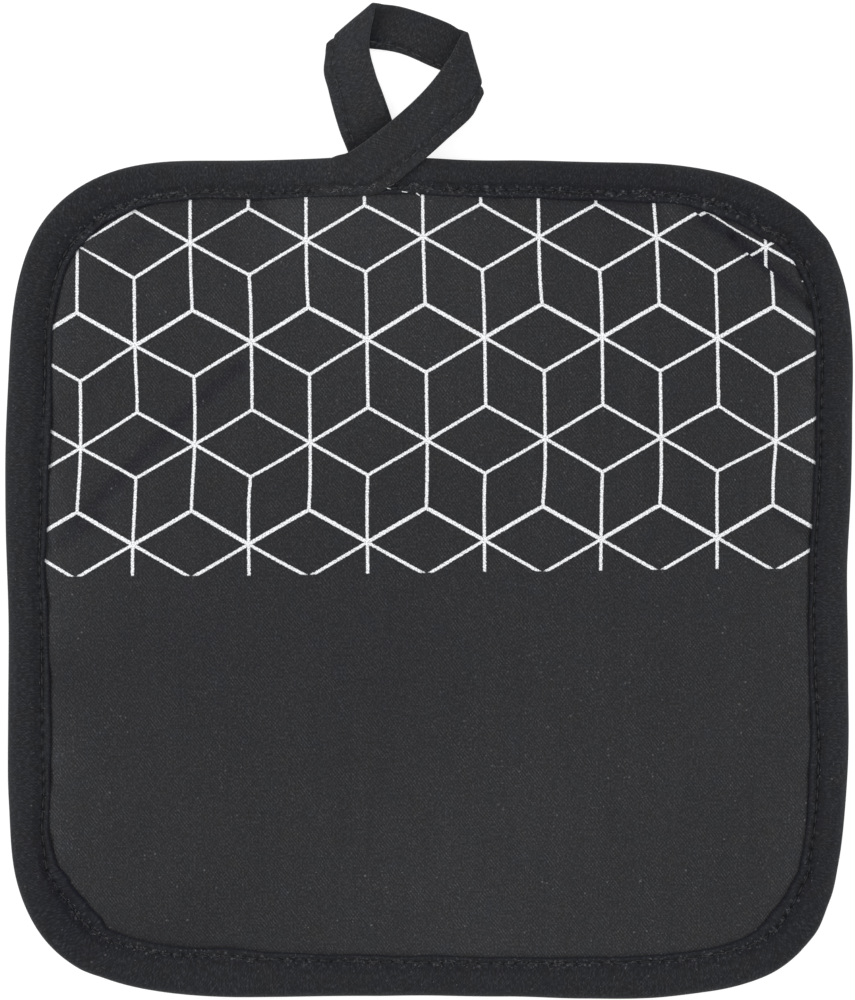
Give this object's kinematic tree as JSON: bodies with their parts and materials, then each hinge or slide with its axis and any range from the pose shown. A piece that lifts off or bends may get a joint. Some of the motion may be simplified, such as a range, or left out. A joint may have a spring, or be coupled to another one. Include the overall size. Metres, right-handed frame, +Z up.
{
  "type": "quilted pot holder",
  "caption": "Flat square filled cloth pot holder with rounded corners, a binding tape round its edge and a folded tape loop to hang it by.",
  "frame": {"origin": "on the surface the pot holder lies on, under the middle of its whole outline with the loop", "axes": "+Z up out of the face, +Y along the face towards the hanging loop, +X to the right across the face"},
  "size_m": [0.1996, 0.2348, 0.0104],
  "materials": {
    "face_cloth": "matt charcoal cotton twill, white-line print on its upper part",
    "binding_tape": "matt black cotton tape",
    "loop_tape": "matt black cotton tape, folded and edge-stitched"
  },
  "bodies": {
    "root": {"pad": "face_cloth", "binding": "binding_tape", "hanging_loop": "loop_tape"}
  },
  "joints": []
}
